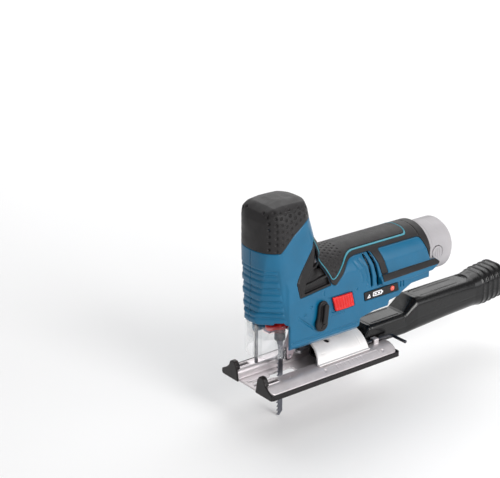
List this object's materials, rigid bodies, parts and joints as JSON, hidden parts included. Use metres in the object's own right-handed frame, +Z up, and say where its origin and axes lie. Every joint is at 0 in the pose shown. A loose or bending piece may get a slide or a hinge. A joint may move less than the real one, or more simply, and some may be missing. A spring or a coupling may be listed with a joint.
{
  "type": "jigsaw power tool",
  "caption": "Compact cordless jigsaw with upright barrel grip, bevelling shoe with bracket, pendulum blade guide, slide switch, battery stick and plug-in dust pipe.",
  "frame": {"origin": "centre of the shoe's footprint, on the sole plane that rests on the work", "axes": "+Z up out of the work, -Y the cutting direction, +X the side that carries the switch and the orbital lever"},
  "size_m": [0.076, 0.3194, 0.217],
  "materials": {
    "shell": "moulded, fine satin texture",
    "grip": "matte soft-touch overmould",
    "black": "fine matte",
    "overshoe": "satin",
    "pipe": "glossy moulded",
    "red": "satin",
    "lamp": "glossy lens",
    "steel": "ground",
    "blade": "ground, milled teeth",
    "dark_steel": "black oxide",
    "plate": "satin plated",
    "clear": "clear moulded",
    "copper": "wound",
    "pack": "satin",
    "board": "lacquered",
    "magnesium": "die cast",
    "brass": "sintered"
  },
  "bodies": {
    "shoe": {"shoe_plate": "plate", "overshoe": "overshoe", "bevel_bracket": "plate"},
    "machine": {"housing_left": "shell", "housing_right": "shell", "housing_screw_1": "dark_steel", "housing_screw_2": "dark_steel", "housing_screw_3": "dark_steel", "housing_screw_4": "dark_steel", "housing_screw_5": "dark_steel", "head_grip": "grip", "body_grip": "grip", "vent_grille_left": "black", "vent_grille_right": "black", "side_strip_left": "grip", "side_strip_right": "grip", "status_window": "black", "switch_module": "black", "circuit_board": "board", "status_board": "board", "status_lamp": "lamp", "motor_can": "steel", "motor_end_bell": "black", "magnet_left": "dark_steel", "magnet_right": "dark_steel", "gear_axle": "dark_steel", "gear_frame": "magnesium", "upper_bush": "brass", "lower_bush": "brass", "fork_pivot_pin": "steel", "guard_rod": "dark_steel", "contact_block": "black", "bevel_clamp": "dark_steel", "bevel_screw": "steel"},
    "rotor": {"rotor": "copper", "cooling_fan": "black"},
    "drive_gear": {"drive_gear": "steel", "crank_roller": "dark_steel"},
    "plunger": {"plunger": "steel", "blade_clamp": "dark_steel", "saw_blade": "blade"},
    "release_lever": {"release_lever": "red"},
    "counterweight": {"counterweight": "dark_steel"},
    "pendulum_fork": {"pendulum_fork": "plate", "roller_pin": "steel"},
    "guide_roller": {"guide_roller": "dark_steel"},
    "orbital_lever": {"orbital_lever": "black"},
    "switch_slider": {"switch_slider": "red"},
    "battery": {"battery_shell": "pack", "battery_cell_1": "steel", "battery_cell_2": "steel", "battery_cell_3": "steel"},
    "battery_button_left": {"battery_button_left": "pack"},
    "battery_button_right": {"battery_button_right": "pack"},
    "dust_pipe": {"dust_pipe": "pipe"},
    "chip_guard": {"chip_guard": "clear"},
    "hex_key": {"hex_key": "dark_steel"}
  },
  "joints": [
    {"name": "bevel_tilt", "type": "hinge", "parent": "shoe", "child": "machine", "pos_m": [0, 0, 0], "axis": [0, 1, 0], "range_deg": [-45, 45]},
    {"name": "rotor_spin", "type": "hinge", "parent": "machine", "child": "rotor", "pos_m": [0, -0.01, 0.0885], "axis": [0, 1, 0], "continuous": true},
    {"name": "gear_spin", "type": "hinge", "parent": "machine", "child": "drive_gear", "pos_m": [0, -0.024, 0.111], "axis": [0, 1, 0], "continuous": true},
    {"name": "plunger_stroke", "type": "slide", "parent": "machine", "child": "plunger", "axis": [0, 0, 1], "range_m": [-0.009, 0.009]},
    {"name": "counterweight_slide", "type": "slide", "parent": "machine", "child": "counterweight", "axis": [0, 0, 1], "range_m": [-0.006, 0.006]},
    {"name": "release_turn", "type": "hinge", "parent": "plunger", "child": "release_lever", "pos_m": [0, -0.04, 0.049], "axis": [0, 0, 1], "range_deg": [0, 40], "stiffness_Nm_per_rad": 0.02, "springref_deg": -11.46},
    {"name": "fork_swing", "type": "hinge", "parent": "machine", "child": "pendulum_fork", "pos_m": [0, -0.024, 0.045], "axis": [1, 0, 0], "range_deg": [0, 4], "stiffness_Nm_per_rad": 0.15, "springref_deg": -5.73},
    {"name": "roller_spin", "type": "hinge", "parent": "pendulum_fork", "child": "guide_roller", "pos_m": [0, -0.0307, 0.019], "axis": [1, 0, 0], "continuous": true},
    {"name": "orbital_turn", "type": "hinge", "parent": "machine", "child": "orbital_lever", "pos_m": [0.0284, -0.016, 0.0563], "axis": [1, 0, 0], "range_deg": [0, 75]},
    {"name": "switch_slide", "type": "slide", "parent": "machine", "child": "switch_slider", "axis": [0, -1, 0], "range_m": [0, 0.004]},
    {"name": "battery_slide", "type": "slide", "parent": "machine", "child": "battery", "axis": [0, 1, 0], "range_m": [0, 0.07]},
    {"name": "button_left_press", "type": "slide", "parent": "battery", "child": "battery_button_left", "axis": [-1, 0, 0], "range_m": [0, 0.0015], "stiffness_N_per_m": 400, "springref_m": -0.001},
    {"name": "button_right_press", "type": "slide", "parent": "battery", "child": "battery_button_right", "axis": [1, 0, 0], "range_m": [0, 0.0015], "stiffness_N_per_m": 400, "springref_m": -0.001},
    {"name": "pipe_slide", "type": "slide", "parent": "shoe", "child": "dust_pipe", "axis": [0, 1, 0], "range_m": [0, 0.06]},
    {"name": "guard_slide", "type": "slide", "parent": "machine", "child": "chip_guard", "axis": [0, -1, 0], "range_m": [0, 0.03]},
    {"name": "key_slide", "type": "slide", "parent": "shoe", "child": "hex_key", "axis": [0, 1, 0], "range_m": [0, 0.045]}
  ],
  "couplings": [
    {"joint": "gear_spin", "follows": "rotor_spin", "ratio": -0.25},
    {"joint": "counterweight_slide", "follows": "plunger_stroke", "ratio": -0.6666}
  ]
}
